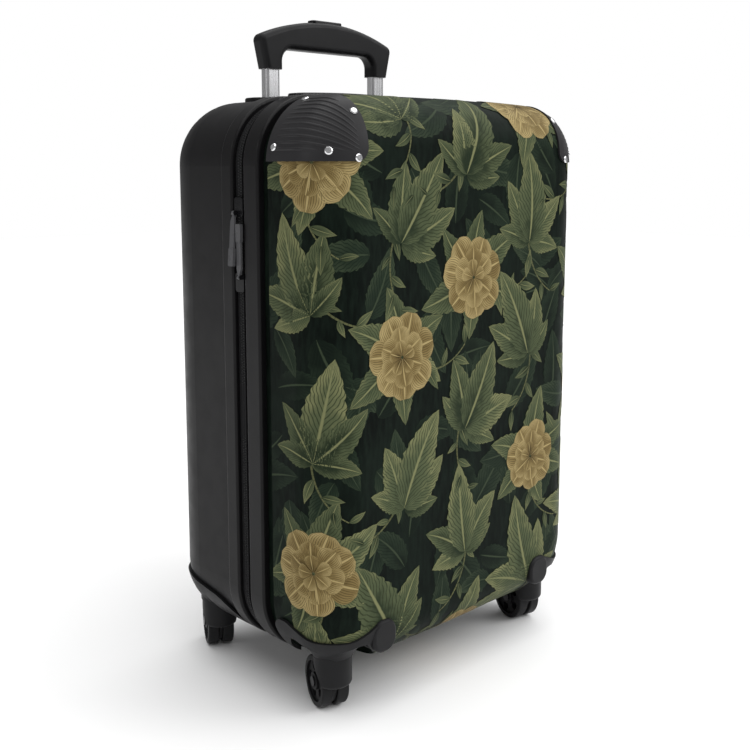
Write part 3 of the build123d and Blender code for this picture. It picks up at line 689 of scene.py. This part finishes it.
def add_bloom(centre, size, turn):
    """Open flower: three rings of petals, each smaller than the one below it."""
    for count, length_share, width_share, offset in bloom_ring_shares:
        for index in range(count):
            heading = turn + offset + full_turn * (index + draw.uniform(-petal_jitter, petal_jitter)) / count
            root_x = centre[0] + math.cos(heading) * petal_root
            root_z = centre[1] + math.sin(heading) * petal_root
            length = size * length_share * draw.uniform(*petal_length_shares)
            width = size * width_share
            tone = draw.uniform(*petal_tones)
            curl = draw.uniform(-petal_curl, petal_curl)
            petals.lift += layer_step
            petals.add_blade((root_x, root_z), heading, length, width, curl, petal_profile, petal_mesh, tone)


def add_spray(root, heading, size):
    """Fan of broad leaves from one stem."""
    for spread, length_share in spray_leaf_shares:
        length = size * length_share * draw.uniform(*spray_length_shares)
        width = length * draw.uniform(*spray_width_shares)
        add_leaf(root, heading + spread, length, width, draw.uniform(*spray_tones))


def add_vine(root, heading, length, curl):
    """Curling stem with small leaves on its two sides in turn."""
    stems.add_blade(root, heading, length, stem_width, curl, stem_profile, stem_mesh, stem_tone)
    x, z = root
    step = length / vine_leaves / vine_steps
    for leaf in range(vine_leaves):
        for part in range(vine_steps):
            angle = heading + curl * (leaf + part / vine_steps) / vine_leaves
            x += math.cos(angle) * step
            z += math.sin(angle) * step
        side = -1 if leaf % 2 else 1
        size = draw.uniform(*vine_leaf_lengths)
        width = size * vine_leaf_width_share
        leaf_heading = angle + side * vine_leaf_angle
        add_leaf((x, z), leaf_heading, size, width, draw.uniform(*vine_leaf_tones), lance_profile)


for column in range(dim_columns):
    for row in range(dim_rows):
        x = column * dim_pitch - dim_reach + draw.uniform(-dim_jitter, dim_jitter)
        z = dim_first_z + row * dim_pitch + draw.uniform(-dim_jitter, dim_jitter)
        length = draw.uniform(*dim_lengths)
        heading = draw.uniform(0, full_turn)
        add_dim_leaf((x, z), heading, length, length * dim_width_share, draw.uniform(0, 1))

for column in range(-outer_column, outer_column + 1):
    for row in range(row_count):
        stagger = row_pitch / 2 if column % 2 else 0
        x = column * column_pitch + draw.uniform(-place_jitter, place_jitter)
        z = first_row_z + row * row_pitch + stagger + draw.uniform(-place_jitter, place_jitter)
        side = 1 if (column + row) % 2 else -1
        lean = math.radians(upright_degrees + side * lean_degrees) + draw.uniform(-lean_jitter, lean_jitter)
        if (column + 2 * row) % bloom_every == 0:
            for turn in bloom_leaf_turns:
                length = draw.uniform(*bloom_leaf_lengths)
                width = length * bloom_leaf_width_share
                add_leaf((x, z), lean + turn, length, width, draw.uniform(*bloom_leaf_tones))
            add_bloom((x, z), draw.uniform(*bloom_sizes), draw.uniform(0, 1))
            add_vine((x, z), lean + bloom_vine_turn, bloom_vine_length, draw.choice(bloom_vine_curls))
        else:
            add_vine((x, z), lean + math.pi, spray_vine_length, draw.choice(spray_vine_curls))
            add_spray((x, z - spray_drop), lean, draw.uniform(*spray_sizes))

dim_leaves.make("print_dim_leaves", dim_ink)
leaves.make("print_leaves", leaf_ink)
petals.make("print_petals", petal_ink)
stems.make("print_stems", stem_ink)

# Ribs of the corner guards, fanning from the front face round to the side and the top
rib_height = 0.75 * mm
rib_sink = 0.3 * mm
rib_width = 3.2 * mm
rib_margin = 8.5 * mm
rib_first_degrees = 13.0
rib_last_degrees = 66.0
rib_count = 11
rib_steps = 44
rib_samples = 200
rib_swell = 6
rib_profile_shares = ((-0.5, -1.0), (-0.3, 0.7), (0.0, 1.0), (0.3, 0.7), (0.5, -1.0))


def strip_face(first, across):
    """Face between two rows of points that are this many points wide."""
    return (first, first + 1, first + across + 1, first + across)


def guard_ribs(side, word):
    """Ribs of one guard, each a strip that swells from its ends and is sunk into the guard at its edges."""
    points = []
    faces = []
    across = len(rib_profile_shares)
    for rib in range(rib_count):
        angle = rib_first_degrees + (rib_last_degrees - rib_first_degrees) * rib / (rib_count - 1)
        angle = math.radians(angle)
        allowed = []
        for sample in range(rib_samples + 1):
            run = print_run * sample / rib_samples
            reach = inset_radius + run
            x = corner_x + reach * math.cos(angle)
            place = on_shell(x, corner_z + reach * math.sin(angle), guard_thickness)
            wide_enough = place.x > half_width - guard_width + rib_margin
            high_enough = place.z > case_top - guard_drop + rib_margin
            if wide_enough and high_enough and run < print_run - rib_margin:
                allowed.append(run)
        start = len(points)
        for step in range(rib_steps + 1):
            along = step / rib_steps
            reach = inset_radius + allowed[0] + (allowed[-1] - allowed[0]) * along
            swell = min(1, rib_swell * along, rib_swell * (1 - along))
            for sideways_share, height_share in rib_profile_shares:
                turn = angle + sideways_share * rib_width / corner_radius
                lift = rib_height * swell * height_share if height_share > 0 else -rib_sink
                x = side * (corner_x + reach * math.cos(turn))
                points.append(on_shell(x, corner_z + reach * math.sin(turn), guard_thickness + lift))
        for step in range(rib_steps):
            for column in range(across - 1):
                face = strip_face(start + step * across + column, across)
                faces.append(face if side < 0 else face[::-1])
    add_piece(f"guard_ribs_{word}", points, faces, "front_half", finishes["guard_black"])


guard_ribs(-1, "left")
guard_ribs(1, "right")

# Stretches of the case's outline, from the middle of the left side upwards and once round
top_angle = quarter_turn - corner_tilt
side_up = corner_z - middle_z
side_down = middle_z - low_corner_z
top_corner_run = corner_radius * top_angle
crown_run = 2 * crown_radius * corner_tilt
low_corner_run = corner_radius * quarter_turn
outline_stretches = (
    side_up,
    top_corner_run,
    crown_run,
    top_corner_run,
    side_up + side_down,
    low_corner_run,
    2 * corner_x,
    low_corner_run,
    side_down,
)


def around(centre_x, centre_z, radius, turn):
    """Point on a circle."""
    return centre_x + radius * math.cos(turn), centre_z + radius * math.sin(turn)


def outline_point(run, level):
    """Point at a distance along the case's outline, raised off it by a level."""
    stretch = 0
    while stretch < len(outline_stretches) - 1 and run > outline_stretches[stretch]:
        run -= outline_stretches[stretch]
        stretch += 1
    reach = corner_radius + level
    bend = run / corner_radius
    crown_turn = quarter_turn + corner_tilt - run / crown_radius
    places = (
        (-half_width - level, middle_z + run),
        around(-corner_x, corner_z, reach, math.pi - bend),
        around(0, crown_z, crown_radius + level, crown_turn),
        around(corner_x, corner_z, reach, top_angle - bend),
        (half_width + level, corner_z - run),
        around(corner_x, low_corner_z, reach, -bend),
        (corner_x - run, case_bottom - level),
        around(-corner_x, low_corner_z, reach, -quarter_turn - bend),
        (-half_width - level, low_corner_z + run),
    )
    return places[stretch]


# Run of the outline that zip teeth and linings follow, without the last 47 mm of the left side
outline_run = 1564 * mm

# Zip teeth: small humps along both halves of the coil
tooth_pitch = 2.4 * mm
tooth_length_share = 0.62
tooth_height = 0.26 * mm
tooth_sink = 0.2 * mm
tooth_profile_shares = ((-0.5, -1.0), (-0.32, 0.75), (0.0, 1.0), (0.32, 0.75), (0.5, -1.0))
tooth_depth_shares = (0.08, 0.3, 0.92)
rear_tooth_share = 0.5
front_tooth_share = 1.0


def zip_teeth(word, y_edge, outward, first_share):
    """Teeth of one half of the zip, the first one a share of the pitch along the outline."""
    points = []
    faces = []
    across = len(tooth_profile_shares)
    for tooth in range(int(outline_run / tooth_pitch)):
        start = len(points)
        for depth_share in tooth_depth_shares:
            for along_share, height_share in tooth_profile_shares:
                run = (tooth + first_share + along_share * tooth_length_share) * tooth_pitch
                rise = tooth_height * height_share if height_share > 0 else -tooth_sink
                x, z = outline_point(run, coil_level + rise)
                points.append((x, y_edge + outward * depth_share * coil_width, z))
        for ring in range(len(tooth_depth_shares) - 1):
            for column in range(across - 1):
                face = strip_face(start + ring * across + column, across)
                faces.append(face[::-1] if outward > 0 else face)
    add_piece(f"zip_teeth_{word}", points, faces, f"{word}_half", finishes["gloss_black"])


zip_teeth("rear", zip_y + zip_gap / 2, 1, rear_tooth_share)
zip_teeth("front", zip_y - zip_gap / 2, -1, front_tooth_share)

# Hinge cloth: one woven strip, two layers joined round the rim, between the halves
cloth_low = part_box("hinge_cloth_front")[0]
cloth_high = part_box("hinge_cloth_rear")[1]
cloth_columns = 40
cloth_rows = 40
cloth_size = (cloth_high.y - cloth_low.y, cloth_high.z - cloth_low.z)
cloth_across = cloth_columns + 1
layer_size = (cloth_rows + 1) * cloth_across
cloth_points = []
cloth_faces = []
for layer_x in (cloth_low.x, cloth_high.x):
    for row in range(cloth_rows + 1):
        for column in range(cloth_across):
            y = cloth_low.y + cloth_size[0] * column / cloth_columns
            z = cloth_low.z + cloth_size[1] * row / cloth_rows
            cloth_points.append((layer_x, y, z))
for row in range(cloth_rows):
    for column in range(cloth_columns):
        face = strip_face(row * cloth_across + column, cloth_across)
        cloth_faces.append(face[::-1])
        cloth_faces.append(tuple(index + layer_size for index in face))
rim_loop = list(range(cloth_across))
rim_loop += [row * cloth_across + cloth_columns for row in range(1, cloth_rows + 1)]
rim_loop += [cloth_rows * cloth_across + column for column in range(cloth_columns - 1, -1, -1)]
rim_loop += [row * cloth_across for row in range(cloth_rows - 1, 0, -1)]
for index, first in enumerate(rim_loop):
    second = rim_loop[(index + 1) % len(rim_loop)]
    cloth_faces.append((first, second, second + layer_size, first + layer_size))
hinge_cloth = add_mesh("hinge_cloth", cloth_points, cloth_faces, finishes["hinge_cloth"])
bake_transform(hinge_cloth)
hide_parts("hinge_cloth_rear", "hinge_cloth_front")

# Linings: stretched cloth over the handle tubes and on the inside of the front
lining_rings = 26
lining_around = 260
lining_thickness = 0.8 * mm
lining_hem_share = 0.93
lining_hem_half_share = 0.03
lining_hem_height = 1.2 * mm
lining_edge_fade = 8
lining_ripple = 0.35 * mm
ripple_across = 90
ripple_along = 23
ripple_sway = 3
ripple_sway_along = 17
rear_lining_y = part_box("back_lining")[0].y
rear_lining_inset = 3.4 * mm
rear_lining_well_x = 88 * mm
rear_lining_well_z = 79 * mm
front_lining_y = -119 * mm
front_lining_inset = 34 * mm
front_lining_well_x = 94 * mm
front_lining_well_z = 80 * mm


def lining(name, y_front, inset, well_x, well_z, body):
    """Cloth cut to the inside of the case, with a raised hem and faint ripples, clear of the wheel wells."""
    rim = []
    for index in range(lining_around):
        x, z = outline_point(outline_run * index / lining_around, -inset)
        rim.append((x, max(z, well_z) if abs(x) > well_x else z))
    points = []
    faces = []
    for layer in (0, lining_thickness):
        points.append((0, y_front + layer, middle_z))
        for ring in range(1, lining_rings + 1):
            share = ring / lining_rings
            fade = min(1, lining_edge_fade * (1 - share))
            hem = max(0, 1 - abs(share - lining_hem_share) / lining_hem_half_share) * lining_hem_height
            for x, z in rim:
                px, pz = x * share, middle_z + (z - middle_z) * share
                sway = ripple_sway * math.sin(pz * ripple_sway_along)
                ripple = lining_ripple * math.sin(px * ripple_across + sway) * math.sin(pz * ripple_along)
                points.append((px, y_front + layer - (ripple + hem) * fade, pz))
    size = 1 + lining_rings * lining_around
    for layer in (0, size):
        for index in range(lining_around):
            after = (index + 1) % lining_around
            tip = (layer, layer + 1 + index, layer + 1 + after)
            faces.append(tip[::-1] if layer == 0 else tip)
            for ring in range(lining_rings - 1):
                inner = layer + 1 + ring * lining_around
                outer = inner + lining_around
                face = (inner + index, outer + index, outer + after, inner + after)
                faces.append(face[::-1] if layer == 0 else face)
    last = 1 + (lining_rings - 1) * lining_around
    for index in range(lining_around):
        after = (index + 1) % lining_around
        faces.append((last + index, last + after, size + last + after, size + last + index))
    piece = add_piece(name, points, faces, body, finishes["lining"])
    return piece


rear_lining = lining(
    "rear_lining",
    rear_lining_y,
    rear_lining_inset,
    rear_lining_well_x,
    rear_lining_well_z,
    "rear_half",
)
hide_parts("back_lining")
lining(
    "front_lining",
    front_lining_y,
    front_lining_inset,
    front_lining_well_x,
    front_lining_well_z,
    "front_half",
)

# Floor
floor_half = 6.0
floor_scale = 3.0
floor_dark = (0.86, 0.86, 0.86)
floor_light = (0.88, 0.88, 0.88)
floor_roughness = 0.8
floor_gloss = 0.1
floor_points = (
    (-floor_half, -floor_half, 0),
    (floor_half, -floor_half, 0),
    (floor_half, floor_half, 0),
    (-floor_half, floor_half, 0),
)
floor_material, floor_tree, floor_shader = new_material("floor")
floor_tone = mixed(floor_tree, noise(floor_tree, floor_scale), floor_dark, floor_light)
floor_tree.links.new(floor_tone, floor_shader.inputs["Base Color"])
floor_shader.inputs["Roughness"].default_value = floor_roughness
floor_shader.inputs["Specular IOR Level"].default_value = floor_gloss
floor = add_mesh("floor", floor_points, [(0, 1, 2, 3)], floor_material)

# Lights that look at the case: name, kind, place, width or angle of the sun, power
case_middle = Vector((0, 0, 0.3))
lights = (
    ("sky_light", "SUN", (0.4, -0.5, 2.3), math.radians(100), 3.5),
    ("key_light", "AREA", (1.5, -1.9, 1.5), 1.2, 16),
    ("left_light", "AREA", (-2.4, 0.2, 1.3), 1.0, 6),
)
for name, kind, place, size, power in lights:
    light_data = bpy.data.lights.new(name, kind)
    if kind == "SUN":
        light_data.angle = size
    else:
        light_data.shape = "DISK"
        light_data.size = size
    light_data.energy = power
    light = bpy.data.objects.new(name, light_data)
    light.location = place
    light.rotation_mode = "QUATERNION"
    light.rotation_quaternion = (case_middle - Vector(place)).to_track_quat("-Z", "Y")
    bpy.context.scene.collection.objects.link(light)

# World: white behind the object, softer as a light
world_light = 0.3
world_seen = 1.0
world = bpy.data.worlds.new("studio")
bpy.context.scene.world = world
world.use_nodes = True
world_tree = world.node_tree
backdrop = world_tree.nodes["Background"]
backdrop.inputs["Color"].default_value = (1, 1, 1, 1)
seen = world_tree.nodes.new("ShaderNodeLightPath").outputs["Is Camera Ray"]
world_tree.links.new(mapped(world_tree, seen, 0, 1, world_light, world_seen), backdrop.inputs["Strength"])
bpy.context.scene.view_settings.view_transform = "Standard"

# Camera
camera_data = bpy.data.cameras.new("camera")
camera_data.sensor_width = sensor_width
camera_data.lens = camera_lens
camera_data.shift_y = camera_shift
camera = bpy.data.objects.new("camera", camera_data)
camera.location = camera_place
level = math.cos(camera_pitch)
ahead = Vector((-math.sin(camera_azimuth) * level, math.cos(camera_azimuth) * level, -math.sin(camera_pitch)))
camera.rotation_mode = "QUATERNION"
camera.rotation_quaternion = ahead.to_track_quat("-Z", "Y")
bpy.context.scene.collection.objects.link(camera)
bpy.context.scene.camera = camera
